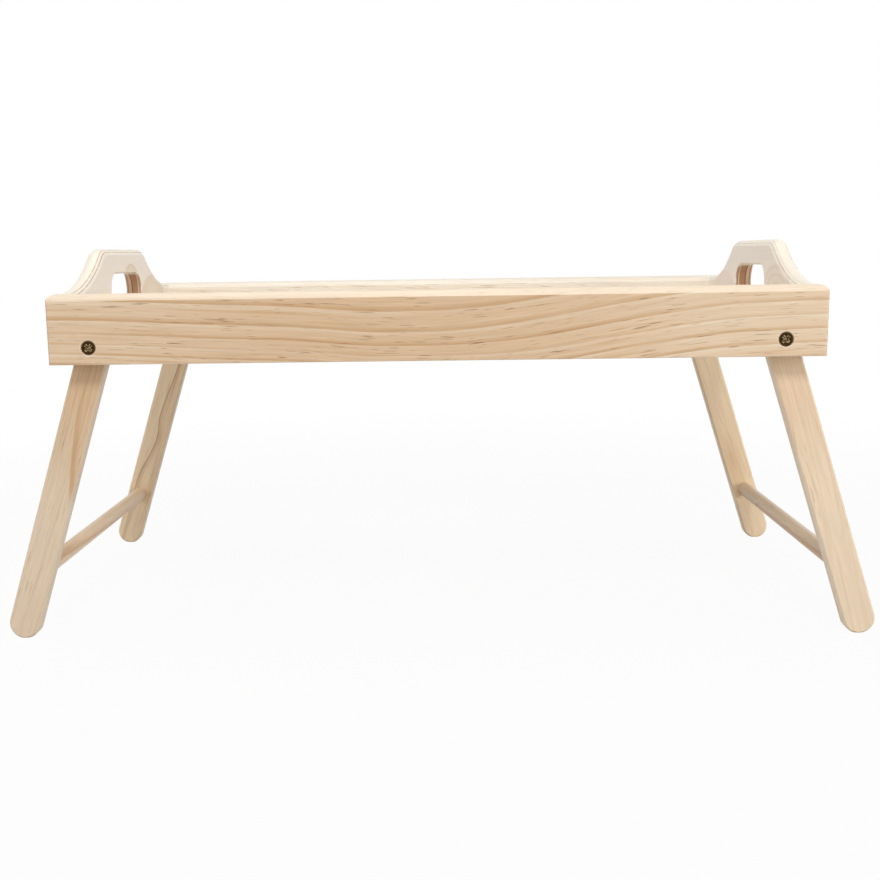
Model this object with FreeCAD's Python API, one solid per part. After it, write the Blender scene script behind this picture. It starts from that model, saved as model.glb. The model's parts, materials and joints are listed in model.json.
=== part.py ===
"""Folding bed tray table: a pine and plywood tray on two folding leg frames.

Millimetres. The origin is on the floor under the middle of the tray, +X runs along
the tray's length, +Y to the back and +Z up. The legs stand open.
"""

import FreeCAD, Part
import math
import os

from FreeCAD import Vector

# Tray frame
tray_length = 500.0
tray_depth = 300.0
rail_height = 45.5
rail_thickness = 13.0
panel_thickness = 12.0
rebate_depth = 4.0            # how far each end panel sits into a rail
crown_drop = 4.4              # how far every upper edge falls from its middle to its sides
outer_corner_radius = 1.5     # upright corners of the tray
lower_edge_radius = 0.6       # lower edges of the rails
panel_lower_edge_radius = 1.5

# Handles, one raised out of each end panel
handle_rise = 29.0            # top of the handle above the rails
handle_top_length = 96.0
shoulder_radius = 18.0
sweep_end_gap = 1.5           # from the end of the sweep to the rail's inner face
grip_height = 18.0            # wood left above the hand hole
hand_hole_length = 80.0
hand_hole_sill = 4.5          # wood left between the hand hole and the tray floor
hand_hole_bevel = 1.3         # eased edge round the hand hole

# Tray floor, a plywood sheet held in grooves
floor_thickness = 3.0
groove_depth = 4.0
groove_play = 0.1             # groove height over the sheet's thickness
floor_edge_play = 0.3         # room left for the sheet to swell, on each side

# Legs
leg_width = 21.0
leg_thickness = 10.0
leg_centres = 198.6           # from the pivot to the centre of the foot's rounding
leg_bevel = 1.2               # eased edges, all round both sides
foot_flat_depth = 0.4         # ground off the rounded foot, parallel to the floor
pivot_from_end = 26.4
folded_leg_inset = 0.5        # folded legs lie this far above the rails' lower edge
stop_play = 0.3               # between an open leg and the edge of the panel that stops it
fold_play = 1.5               # between a folded leg and the tray floor
rail_play = 0.3               # between a leg and the rail it turns beside

# Stretchers, one dowel across each pair of legs
stretcher_diameter = 11.5
stretcher_from_pivot = 162.2
stretcher_seat_depth = 7.0
seat_play = 0.03              # on the radius of a glued dowel
seat_end_play = 0.3

# Pivot screws
screw_end_cover = 0.9         # wood left between the screw's point and the leg's inner side
screw_end_bevel = 0.4
screw_head_diameter = 9.5
screw_head_sink = 0.4         # head below the face of the rail
shank_diameter = 4.2
thread_play = 0.02            # on the radius of the leg's pilot hole
pivot_play = 0.07             # on the radius of the rail's bore, a running fit
recess_depth = 2.0
recess_reach = 2.5
recess_wing_width = 1.15
recess_taper = 0.5

# Working allowances, which leave no mark on the object
overcut = 1.0                 # how far a cutting solid runs past what it cuts
near = 0.001                  # two places closer than this are one

# Places that follow from the sizes above
half_length = tray_length / 2
half_depth = tray_depth / 2
inner_x = half_length - panel_thickness
inner_y = half_depth - rail_thickness
panel_end_y = inner_y + rebate_depth
rail_crest_y = half_depth - rail_thickness / 2
panel_crest_x = half_length - panel_thickness / 2
leg_outer_y = inner_y - rail_play
leg_inner_y = leg_outer_y - leg_thickness
pivot_x = half_length - pivot_from_end
leg_half_width = leg_width / 2
pivot_above_edge = leg_half_width + folded_leg_inset


def open_leg_angle():
    """Angle from upright at which the leg's outer edge meets the panel's rounded lower edge."""
    across = pivot_from_end - panel_thickness + panel_lower_edge_radius
    drop = pivot_above_edge - panel_lower_edge_radius
    reach = leg_half_width + stop_play + panel_lower_edge_radius
    return math.acos(reach / math.hypot(across, drop)) - math.atan2(drop, across)


splay = open_leg_angle()
pivot_z = leg_centres * math.cos(splay) + leg_half_width - foot_flat_depth
rail_bottom = pivot_z - pivot_above_edge
rail_top = rail_bottom + rail_height
floor_bottom = pivot_z + leg_half_width + fold_play
floor_top = floor_bottom + floor_thickness
handle_top = rail_top + handle_rise
screw_head_radius = screw_head_diameter / 2
shank_radius = shank_diameter / 2
screw_end = half_depth - leg_inner_y - screw_end_cover


def block(x_range, y_range, z_range):
    """Box between two values on each axis."""
    size = [high - low for low, high in (x_range, y_range, z_range)]
    return Part.makeBox(*size, Vector(x_range[0], y_range[0], z_range[0]))


def prism(edges, along):
    """Solid swept along a straight line from a closed outline."""
    return Part.Face(Part.Wire(Part.__sortEdges__(edges))).extrude(along)


def line(start, end):
    return Part.LineSegment(start, end).toShape()


def arc(start, middle, end):
    return Part.Arc(start, middle, end).toShape()


def turned(radius, centre, degrees, place):
    """Point on a circle, at an angle in a plane that place() maps to space."""
    angle = math.radians(degrees)
    return place(centre[0] + radius * math.cos(angle), centre[1] + radius * math.sin(angle))


def rounded_rectangle(low, high, radii, place):
    """Edges of a rectangle, its corner radii given anticlockwise from the low corner."""
    corners = [low, (high[0], low[1]), high, (low[0], high[1])]
    inward = [(1, 1), (-1, 1), (-1, -1), (1, -1)]
    edges = []
    ends = []
    for number, (corner, side, radius) in enumerate(zip(corners, inward, radii)):
        centre = (corner[0] + side[0] * radius, corner[1] + side[1] * radius)
        from_angle = 180 + 90 * number
        points = [turned(radius, centre, from_angle + step, place) for step in (0, 45, 90)]
        if radius > 0:
            edges.append(arc(*points))
        ends.append((points[0], points[2]))
    for number, (_, leave) in enumerate(ends):
        arrive = ends[(number + 1) % len(ends)][0]
        if leave.distanceToPoint(arrive) > near:
            edges.append(line(leave, arrive))
    return edges


def in_plan(x, y):
    return Vector(x, y, rail_bottom)


def in_section(y, z):
    return Vector(-half_length, y, z)


def to_back(shape):
    """Half a turn about the upright axis brings a front left part to the back right."""
    copy = shape.copy()
    copy.rotate(Vector(0, 0, 0), Vector(0, 0, 1), 180)
    return copy


def mirrored_in_x(shape):
    return shape.mirror(Vector(0, 0, 0), Vector(1, 0, 0))


def crown_waste(half_width, place):
    """Outline of what is cut away over a crowned edge, which is one arc from side to side.

    place() takes a distance across from the edge's middle and a height over its crest.
    """
    angle = 2 * math.atan2(crown_drop, half_width)
    radius = half_width / math.sin(angle)

    def on_crown(turn):
        return place(radius * math.sin(turn), radius * (math.cos(turn) - 1))

    outside = half_width + overcut
    right = [(outside, -crown_drop), (outside, 2 * overcut)]
    around = right + [(-across, up) for across, up in reversed(right)]
    points = [on_crown(angle)] + [place(*corner) for corner in around] + [on_crown(-angle)]
    edges = [line(start, end) for start, end in zip(points, points[1:])]
    return edges + [arc(on_crown(-angle), on_crown(0), on_crown(angle))]


def over_rail(low_x, high_x):
    """Waste over the front rail's crowned edge, between two places along it."""
    outline = crown_waste(
        rail_thickness / 2, lambda across, up: Vector(low_x, across - rail_crest_y, rail_top + up)
    )
    return prism(outline, Vector(high_x - low_x, 0, 0))


def over_panel(low_y, high_y):
    """Waste over the level ends of the right panel's crowned edge."""
    outline = crown_waste(
        panel_thickness / 2, lambda across, up: Vector(panel_crest_x + across, low_y, rail_top + up)
    )
    return prism(outline, Vector(0, high_y - low_y, 0))


def front_right_waste():
    """Waste at the corner, where the crowned edges of rail and panel meet in a mitre.

    On the outside the lower of the two edges counts, on the inside the higher one.
    """
    rail_waste = over_rail(inner_x - overcut, half_length + overcut)
    panel_waste = over_panel(-half_depth - overcut, -inner_y)
    x_range = (inner_x, half_length + 2 * overcut)
    y_range = (-half_depth - 2 * overcut, -inner_y)
    z_range = (rail_top - 2 * crown_drop, rail_top + 2 * crown_drop)
    outside_rail = block(x_range, (y_range[0], -rail_crest_y), z_range)
    outside_panel = block((panel_crest_x, x_range[1]), y_range, z_range)
    mitre = block((inner_x, panel_crest_x), (-rail_crest_y, -inner_y), z_range)
    return [
        rail_waste.common(outside_rail),
        panel_waste.common(outside_panel),
        rail_waste.common(panel_waste).common(mitre),
    ]


def rail_blank():
    """Front rail with its crowned top and rounded edges, before its joints are cut."""
    outer_rounded = (outer_corner_radius, outer_corner_radius, 0, 0)
    lower_rounded = (lower_edge_radius, lower_edge_radius, 0, 0)
    top = rail_top + overcut
    plan = rounded_rectangle(
        (-half_length, -half_depth), (half_length, -inner_y), outer_rounded, in_plan
    )
    section = rounded_rectangle(
        (-half_depth, rail_bottom), (-inner_y, top), lower_rounded, in_section
    )
    blank = prism(plan, Vector(0, 0, rail_height + overcut))
    blank = blank.common(prism(section, Vector(tray_length, 0, 0)))
    right_corner = front_right_waste()
    left_corner = [mirrored_in_x(waste) for waste in right_corner]
    return blank.cut([over_rail(-inner_x, inner_x)] + right_corner + left_corner)


def rail_rebate(side):
    """Step at one end of the rail that the end panel is glued into."""
    inner, outer = side * inner_x, side * (half_length + overcut)
    return block(
        (min(inner, outer), max(inner, outer)),
        (-panel_end_y, -inner_y + overcut),
        (rail_bottom - overcut, rail_top + overcut),
    )


def floor_groove():
    """Room for the floor sheet: one slab that cuts the grooves in rails and panels alike."""
    return block(
        (-inner_x - groove_depth, inner_x + groove_depth),
        (-inner_y - groove_depth, inner_y + groove_depth),
        (floor_bottom, floor_top + groove_play),
    )


def countersunk_profile(play, bore_radius, depth):
    """Half outline of a countersunk bore, in radius and depth from the rail's face."""
    mouth_radius = screw_head_radius + play + screw_head_sink
    return [
        (0, -overcut),
        (mouth_radius + overcut, -overcut),
        (bore_radius, mouth_radius - bore_radius),
        (bore_radius, depth),
        (0, depth),
    ]


def spun(profile, x, z):
    """Solid of revolution about an axis that enters the front rail at x, z."""
    points = [Vector(x + radius, depth - half_depth, z) for radius, depth in profile]
    face = Part.Face(Part.makePolygon(points + points[:1]))
    return face.revolve(Vector(x, 0, z), Vector(0, 1, 0), 360)


def front_rail():
    rail = rail_blank()
    cuts = [rail_rebate(-1), rail_rebate(1), floor_groove()]
    seat = countersunk_profile(pivot_play, shank_radius + pivot_play, rail_thickness + overcut)
    for side in (-1, 1):
        cuts.append(spun(seat, side * pivot_x, pivot_z))
    return rail.cut(cuts)


def panel_top():
    """Right half of an end panel's top: flat grip, shoulder, long sweep, level end.

    The shoulder and the sweep are two arcs that meet in one tangent, so their angle follows
    from how far the edge falls and over what width. Gives the edges of the outline, raised
    by the overcut, and the solids that cut the crowned edge out of it.
    """
    grip_end = handle_top_length / 2
    sweep_end = inner_y - sweep_end_gap
    width = sweep_end - grip_end
    slope = 2 * math.atan2(handle_rise, width)
    sweep_radius = width / math.sin(slope) - shoulder_radius
    shoulder_centre = Vector(inner_x, grip_end, handle_top - shoulder_radius)
    sweep_centre = Vector(inner_x, sweep_end, rail_top + sweep_radius)
    raised = Vector(0, 0, overcut)

    def on_shoulder(angle):
        reach = shoulder_radius + overcut
        return shoulder_centre + Vector(0, reach * math.sin(angle), reach * math.cos(angle))

    def on_sweep(angle):
        reach = sweep_radius - overcut
        return sweep_centre - Vector(0, reach * math.sin(angle), reach * math.cos(angle))

    outline = [
        line(Vector(inner_x, 0, handle_top) + raised, on_shoulder(0)),
        arc(on_shoulder(0), on_shoulder(slope / 2), on_shoulder(slope)),
        arc(on_sweep(slope), on_sweep(slope / 2), on_sweep(0)),
        line(on_sweep(0), Vector(inner_x, panel_end_y, rail_top) + raised),
    ]

    def across_edge(y, crest_z):
        waste = crown_waste(
            panel_thickness / 2, lambda across, up: Vector(panel_crest_x + across, y, crest_z + up)
        )
        return Part.Face(Part.Wire(Part.__sortEdges__(waste)))

    axis = Vector(-1, 0, 0)
    turn = math.degrees(slope)
    wastes = [
        across_edge(0, handle_top).extrude(Vector(0, grip_end, 0)),
        across_edge(grip_end, handle_top).revolve(shoulder_centre, axis, turn),
        across_edge(sweep_end, rail_top).revolve(sweep_centre, axis, turn),
        over_panel(sweep_end, inner_y),
    ]
    return outline, wastes


def mirrored_in_y(shapes):
    return [shape.mirror(Vector(0, 0, 0), Vector(0, 1, 0)) for shape in shapes]


def hand_hole():
    """Slot with round ends, from just above the tray floor to under the grip."""
    low = floor_top + hand_hole_sill
    high = handle_top - grip_height
    radius = (high - low) / 2
    half_hole = hand_hole_length / 2

    def in_side_view(y, z):
        return Vector(inner_x - overcut, y, z)

    outline = rounded_rectangle((-half_hole, low), (half_hole, high), (radius,) * 4, in_side_view)
    return prism(outline, Vector(panel_thickness + 2 * overcut, 0, 0))


def edges_where(shape, wanted):
    """Edges whose points all pass a test."""
    chosen = []
    for edge in shape.Edges:
        points = edge.discretize(5)
        if all(wanted(point) for point in points):
            chosen.append(edge)
    return chosen


def right_end_panel():
    """Plywood end with its handle, its hand hole, crowned edge and the floor's groove."""
    half_top, half_waste = panel_top()
    low_left = Vector(inner_x, -panel_end_y, rail_bottom)
    low_right = Vector(inner_x, panel_end_y, rail_bottom)
    top_left = Vector(inner_x, -panel_end_y, rail_top + overcut)
    top_right = Vector(inner_x, panel_end_y, rail_top + overcut)
    sides = [line(top_left, low_left), line(low_left, low_right), line(low_right, top_right)]
    outline = half_top + mirrored_in_y(half_top) + sides
    panel = prism(outline, Vector(panel_thickness, 0, 0))
    front_corner = front_right_waste()
    panel = panel.cut(half_waste + mirrored_in_y(half_waste))
    panel = panel.cut(front_corner + mirrored_in_y(front_corner))

    def on_a_face(point):
        return abs(abs(point.x - inner_x - panel_thickness / 2) - panel_thickness / 2) < near

    lower = edges_where(panel, lambda point: on_a_face(point) and point.z < rail_bottom + near)
    panel = panel.makeFillet(panel_lower_edge_radius, lower)

    panel = panel.cut(hand_hole())
    hole_low = floor_top + hand_hole_sill - near
    hole_high = handle_top - grip_height + near
    hole_side = hand_hole_length / 2 + near

    def round_the_hole(point):
        within = hole_low < point.z < hole_high and abs(point.y) < hole_side
        return on_a_face(point) and within

    panel = panel.makeChamfer(hand_hole_bevel, edges_where(panel, round_the_hole))
    return panel.cut(floor_groove())


def tray_floor():
    reach_x = inner_x + groove_depth - floor_edge_play
    reach_y = inner_y + groove_depth - floor_edge_play
    return block((-reach_x, reach_x), (-reach_y, reach_y), (floor_bottom, floor_top))


def leg_blank():
    """Flat bar with round ends and eased edges, hanging from a pivot at the origin."""

    def in_leg(x, z):
        return Vector(x, -leg_outer_y, z)

    low = (-leg_half_width, -leg_centres - leg_half_width)
    high = (leg_half_width, leg_half_width)
    outline = rounded_rectangle(low, high, (leg_half_width,) * 4, in_leg)
    bar = prism(outline, Vector(0, leg_thickness, 0))

    def on_a_side(point):
        return min(abs(point.y + leg_outer_y), abs(point.y + leg_inner_y)) < near

    return bar.makeChamfer(leg_bevel, edges_where(bar, on_a_side))


def stretcher_seat():
    """Blind hole in the leg's inner side."""
    depth = stretcher_seat_depth + seat_end_play
    return Part.makeCylinder(
        stretcher_diameter / 2 + seat_play,
        depth + overcut,
        Vector(0, -leg_inner_y - depth, -stretcher_from_pivot),
        Vector(0, 1, 0),
    )


def opened(shape):
    """From hanging straight down at the origin to the right front corner, legs open."""
    copy = shape.copy()
    copy.rotate(Vector(0, 0, 0), Vector(0, 1, 0), -math.degrees(splay))
    copy.translate(Vector(pivot_x, 0, pivot_z))
    return copy


def pilot_hole():
    """Blind hole in the leg that the pivot screw is driven into."""
    depth = leg_thickness - screw_end_cover + seat_end_play
    mouth = Vector(0, -leg_outer_y - overcut, 0)
    return Part.makeCylinder(shank_radius + thread_play, depth + overcut, mouth, Vector(0, 1, 0))


def right_front_leg():
    leg = opened(leg_blank().cut([stretcher_seat(), pilot_hole()]))
    below_floor = block((0, tray_length), (-half_depth, half_depth), (-leg_centres, 0))
    return leg.cut(below_floor)


def right_stretcher():
    reach = leg_inner_y + stretcher_seat_depth
    dowel = Part.makeCylinder(
        stretcher_diameter / 2,
        2 * reach,
        Vector(0, -reach, -stretcher_from_pivot),
        Vector(0, 1, 0),
    )
    return opened(dowel)


def tapered(mouth, end):
    """Solid with flat sides between two outlines of like shape."""
    faces = [Part.Face(Part.makePolygon(outline + outline[:1])) for outline in (mouth, end)]
    for number, corner in enumerate(mouth):
        after = (number + 1) % len(mouth)
        side = [corner, mouth[after], end[after], end[number], corner]
        faces.append(Part.Face(Part.makePolygon(side)))
    return Part.Solid(Part.Shell(faces))


def cross_recess(x, z):
    """Tapered cross in the screw's head, turned by an eighth of a turn."""

    def cross_at(depth, scale):
        reach = recess_reach * scale
        half_wing = recess_wing_width * scale / 2
        corners = []
        for quarter in range(4):
            heading = math.radians(45 + 90 * quarter)
            for along, aside in ((reach, -half_wing), (reach, half_wing), (half_wing, half_wing)):
                across = along * math.cos(heading) - aside * math.sin(heading)
                up = along * math.sin(heading) + aside * math.cos(heading)
                corners.append(Vector(x + across, depth - half_depth, z + up))
        return corners

    end_depth = screw_head_sink + recess_depth
    return tapered(cross_at(screw_head_sink, 1), cross_at(end_depth, recess_taper))


def right_front_pivot_screw():
    """Countersunk screw: its plain shank turns in the rail's bore and is held in the leg."""
    neck_depth = screw_head_sink + screw_head_radius - shank_radius
    profile = [
        (0, screw_head_sink),
        (screw_head_radius, screw_head_sink),
        (shank_radius, neck_depth),
        (shank_radius, screw_end - screw_end_bevel),
        (shank_radius - screw_end_bevel, screw_end),
        (0, screw_end),
    ]
    return spun(profile, pivot_x, pivot_z).cut(cross_recess(pivot_x, pivot_z))


def four_corners(name, right_front):
    """The same piece at each corner of the tray, mirrored where it has to be."""
    left_front = mirrored_in_x(right_front)
    return {
        "right_front_" + name: right_front,
        "left_front_" + name: left_front,
        "left_back_" + name: to_back(right_front),
        "right_back_" + name: to_back(left_front),
    }


def build_pieces():
    rail = front_rail()
    panel = right_end_panel()
    stretcher = right_stretcher()
    pieces = {
        "front_rail": rail,
        "back_rail": to_back(rail),
        "right_end_panel": panel,
        "left_end_panel": to_back(panel),
        "tray_bottom": tray_floor(),
        "right_stretcher": stretcher,
        "left_stretcher": to_back(stretcher),
    }
    pieces.update(four_corners("leg", right_front_leg()))
    pieces.update(four_corners("pivot_screw", right_front_pivot_screw()))
    return pieces


def write_pieces():
    os.makedirs("parts", exist_ok=True)
    for name, shape in build_pieces().items():
        solid = shape.Solids[0]
        if len(shape.Solids) != 1 or not solid.isValid():
            raise ValueError(name + " isn't one sound solid")
        solid.exportStep("parts/" + name + ".step")
        print(name, round(solid.Volume / 1000, 2), "cm3")
    print("open leg angle", round(math.degrees(splay), 3), "degrees")
    print("pivot height", round(pivot_z, 3), "rail top", round(rail_top, 3))


write_pieces()
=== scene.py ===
"""Finishes and studio for a folding bed tray table: pine rails and legs, plywood ends, dark brass screws.

The frame holds every piece in metres, at rest. Finishes are drawn in millimetres, on axes laid along each
piece, so that grain, plies and wear run through the solid and meet at its edges.
"""

import json
import math

import bmesh
import bpy
from bpy.props import FloatProperty, FloatVectorProperty, PointerProperty
from mathutils import Matrix, Vector


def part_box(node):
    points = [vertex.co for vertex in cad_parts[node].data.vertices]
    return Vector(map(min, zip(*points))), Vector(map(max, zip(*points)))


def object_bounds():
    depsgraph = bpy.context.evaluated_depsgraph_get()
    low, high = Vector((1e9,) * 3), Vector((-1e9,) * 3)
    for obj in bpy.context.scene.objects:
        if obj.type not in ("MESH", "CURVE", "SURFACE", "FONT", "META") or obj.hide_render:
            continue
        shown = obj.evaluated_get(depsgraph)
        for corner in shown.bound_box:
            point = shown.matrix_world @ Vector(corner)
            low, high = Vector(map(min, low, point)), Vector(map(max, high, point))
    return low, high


bl_info = {
    "name": "Bed Tray Table Finishes",
    "version": (1, 0, 0),
    "blender": (4, 5, 0),
    "location": "3D View > Sidebar > Tray Table",
    "description": "Finishes the pieces of a folding bed tray table and sets up its studio",
    "category": "Material",
}

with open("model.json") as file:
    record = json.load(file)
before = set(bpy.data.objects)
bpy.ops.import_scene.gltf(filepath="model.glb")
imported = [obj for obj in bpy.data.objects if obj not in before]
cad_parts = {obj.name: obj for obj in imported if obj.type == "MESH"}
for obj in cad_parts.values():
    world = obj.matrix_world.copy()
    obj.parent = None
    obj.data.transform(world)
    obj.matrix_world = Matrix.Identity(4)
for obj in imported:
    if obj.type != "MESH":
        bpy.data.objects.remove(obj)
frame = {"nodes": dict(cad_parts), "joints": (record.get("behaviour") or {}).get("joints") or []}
cad_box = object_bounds()

MM = 1000.0  # millimetres in a metre

# The axes of the object: the rails run along X, the end panels along Y, and Z is up.
ALONG_X = Vector((1, 0, 0))
ALONG_Y = Vector((0, 1, 0))
UP = Vector((0, 0, 1))
HINGES = {joint["child"]: Vector(joint["pos_m"]) for joint in frame["joints"]}


def linear(step):
    """One channel of a paint chip, given as 0 to 255 in sRGB, as a linear share of light."""
    share = step / 255
    return share / 12.92 if share <= 0.04045 else ((share + 0.055) / 1.055) ** 2.4


def chip(red, green, blue):
    """Linear colour of a paint chip given as 0 to 255."""
    return linear(red), linear(green), linear(blue)


def colour(name, description, red, green, blue):
    """A colour that a user can change."""
    return FloatVectorProperty(
        name=name,
        description=description,
        subtype="COLOR",
        min=0,
        max=1,
        default=chip(red, green, blue),
    )


def length(name, description, millimetres):
    """A length that a user can change."""
    return FloatProperty(name=name, description=description, unit="LENGTH", min=0, default=millimetres / MM)


def share(name, description, default):
    """A share from 0 to 1 that a user can change."""
    return FloatProperty(name=name, description=description, subtype="FACTOR", min=0, max=1, default=default)


def power(name, description, watts):
    """A lamp's power, which a user can change."""
    return FloatProperty(name=name, description=description, unit="POWER", min=0, default=watts)


def pine_tones(early, middle, late):
    """The colours of one pine, as the properties of a group."""
    return {
        "early": colour("Early wood", "Pale wood at the start of a growth ring", *early),
        "middle": colour("Middle wood", "Wood in the middle of a growth ring", *middle),
        "late": colour("Late wood", "Brown wood at the end of a growth ring", *late),
    }


class FrontRailTones(bpy.types.PropertyGroup):
    """Pine of the front rail."""

    __annotations__ = pine_tones((232, 214, 190), (223, 198, 167), (198, 161, 118))


class BackRailTones(bpy.types.PropertyGroup):
    """Paler pine of the back rail."""

    __annotations__ = pine_tones((234, 223, 206), (233, 223, 207), (212, 190, 160))


class FrontLegTones(bpy.types.PropertyGroup):
    """Plain, greyer pine of the front legs."""

    __annotations__ = pine_tones((230, 212, 187), (223, 202, 175), (204, 174, 138))


class BackLegTones(bpy.types.PropertyGroup):
    """Plain, yellower pine of the back legs, paler as painted light for legs in the tray's shade."""

    __annotations__ = pine_tones((243, 223, 193), (238, 214, 180), (214, 182, 140))


class StretcherTones(bpy.types.PropertyGroup):
    """Turned wood of the stretchers."""

    __annotations__ = pine_tones((240, 218, 190), (232, 206, 174), (202, 166, 128))


class PineSettings(bpy.types.PropertyGroup):
    """What the planed pine pieces have in common."""

    duct: colour("Resin ducts", "Tint of the short dark flecks along the grain", 184, 164, 142)
    # Also the tint of the painted shade on the front legs' tops and the right stretcher's underside.
    stain: colour("Heart stain", "Tint of the brown streaks near the heart", 228, 205, 178)
    vein: colour("Veins", "Tint of the thin dark lines that wander along a leg", 188, 156, 122)
    # Painted highlight: a pale ring round each countersunk screw, standing in for its countersink's lit rim.
    bruise: colour("Bruised rim", "Pale crushed wood round a countersunk screw", 244, 230, 208)
    end_grain: colour("End grain", "Tint of the cut ends", 226, 212, 192)
    roughness: share("Roughness", "Roughness of the wood under its lacquer", 0.55)
    lacquer: share("Lacquer", "Amount of clear lacquer", 0.4)
    lacquer_roughness: share("Lacquer roughness", "Roughness of the clear lacquer", 0.35)
    ridge: length("Ridge height", "How far late wood stands proud of early wood", 0.02)


class PlywoodSettings(bpy.types.PropertyGroup):
    """Sanded plywood of the end panels and the tray bottom."""

    face: colour("Face veneer", "Pale wood of the face veneer", 243, 233, 220)
    contour: colour("Face contours", "Darker wood where the knife crossed growth rings", 222, 194, 158)
    edge: colour("Edges", "Routed edges of all the plies", 241, 231, 213)
    # Partly painted shade: the hand hole's walls get darker plies and glue than other edges, for its shade.
    ply_end: colour("Ply ends", "A long ply cut across its grain, in the hand hole", 166, 122, 86)
    shaded_ply_side: colour("Ply sides", "A cross ply cut along its grain, in the hand hole", 208, 170, 134)
    glue: colour("Glue line", "Thin brown line between two plies", 158, 120, 88)
    hole_glue: colour("Glue line in the hand hole", "Wider dark line between two plies", 104, 68, 42)
    roughness: share("Roughness", "Roughness of the wood under its lacquer", 0.5)
    lacquer: share("Lacquer", "Amount of clear lacquer", 0.4)
    lacquer_roughness: share("Lacquer roughness", "Roughness of the clear lacquer", 0.35)
    ridge: length("Ridge height", "How far the veneer's contours stand proud", 0.01)


class BrassSettings(bpy.types.PropertyGroup):
    """Dark plated brass of the pivot screws."""

    plating: colour("Plating", "Dark antique plating", 72, 49, 26)
    patina: colour("Patina", "Darker patches in the plating", 34, 24, 14)
    # Also the colour of the painted glints in the screw's recess.
    rubbed: colour("Rubbed brass", "Bare brass where the driver has rubbed", 255, 234, 184)
    roughness: share("Roughness", "Roughness of the plating", 0.34)


class StudioSettings(bpy.types.PropertyGroup):
    """Floor, lamps and surroundings."""

    floor: colour("Floor", "Pale floor under the table", 212, 209, 206)
    overhead: power("Overhead lamp", "Softbox above the table", 9.8)
    front: power("Front lamp", "Softbox high in front, which throws the rail's shadow on the legs", 14.7)
    left: power("Left lamp", "Low softbox to the left, a little in front", 6.2)
    right: power("Right lamp", "Low softbox to the right, a little in front", 10.5)
    surround: share("Surroundings", "Strength of the even light from all round", 0.175)


class TrayTableSettings(bpy.types.PropertyGroup):
    """Everything that the panel offers."""

    front_rail: PointerProperty(type=FrontRailTones)
    back_rail: PointerProperty(type=BackRailTones)
    front_legs: PointerProperty(type=FrontLegTones)
    back_legs: PointerProperty(type=BackLegTones)
    stretchers: PointerProperty(type=StretcherTones)
    pine: PointerProperty(type=PineSettings)
    plywood: PointerProperty(type=PlywoodSettings)
    brass: PointerProperty(type=BrassSettings)
    studio: PointerProperty(type=StudioSettings)


def table_settings():
    """The settings on the current scene."""
    return bpy.context.scene.tray_table


class Field:
    """A number that changes over a surface. Arithmetic on it adds Math nodes to its finish."""

    def __init__(self, finish, socket):
        self.finish = finish
        self.socket = socket

    def _math(self, operation, *values):
        node = self.finish.node("ShaderNodeMath", {"operation": operation}, dict(enumerate(values)))
        return Field(self.finish, node.outputs[0])

    def __add__(self, other):
        return self._math("ADD", self, other)

    __radd__ = __add__

    def __sub__(self, other):
        return self._math("SUBTRACT", self, other)

    def __rsub__(self, other):
        return self._math("SUBTRACT", other, self)

    def __mul__(self, other):
        return self._math("MULTIPLY", self, other)

    __rmul__ = __mul__

    def __truediv__(self, other):
        return self._math("DIVIDE", self, other)

    def __rtruediv__(self, other):
        return self._math("DIVIDE", other, self)

    def __pow__(self, exponent):
        return self._math("POWER", self, exponent)

    def __abs__(self):
        return self._math("ABSOLUTE", self)

    def __gt__(self, limit):
        return self._math("GREATER_THAN", self, limit)

    def __lt__(self, limit):
        return self._math("LESS_THAN", self, limit)

    def fraction(self):
        """What is left above the next whole number down."""
        return self._math("FRACT", self)

    def most(self, other):
        """The larger of two numbers."""
        return self._math("MAXIMUM", self, other)

    def least(self, other):
        """The smaller of two numbers."""
        return self._math("MINIMUM", self, other)

    def eased(self, start, end):
        """0 before start and 1 after end, with a smooth step between them."""
        node = self.finish.node(
            "ShaderNodeMapRange",
            {"interpolation_type": "SMOOTHSTEP"},
            {"Value": self, "From Min": start, "From Max": end},
        )
        return Field(self.finish, node.outputs[0])


class NodeTree:
    """A tree of nodes, written as expressions."""

    def __init__(self, tree):
        self.tree = tree
        self.tree.nodes.clear()

    def node(self, kind, settings=None, sockets=None):
        """Add a node: its settings are set first, and then the values or links of its sockets."""
        node = self.tree.nodes.new(kind)
        for name, value in (settings or {}).items():
            if name == "stops":
                self._set_stops(node.color_ramp.elements, value)
            else:
                setattr(node, name, value)
        for name, value in (sockets or {}).items():
            if isinstance(value, Field):
                value = value.socket
            if isinstance(value, bpy.types.NodeSocket):
                self.tree.links.new(value, node.inputs[name])
            else:
                node.inputs[name].default_value = value
        return node

    def _set_stops(self, elements, stops):
        """Fill a ramp with (place, colour) stops."""
        while len(elements) < len(stops):
            elements.new(1.0)
        for element, (place, tint) in zip(elements, stops):
            element.position = place
            element.color = (*tint, 1.0)


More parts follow.
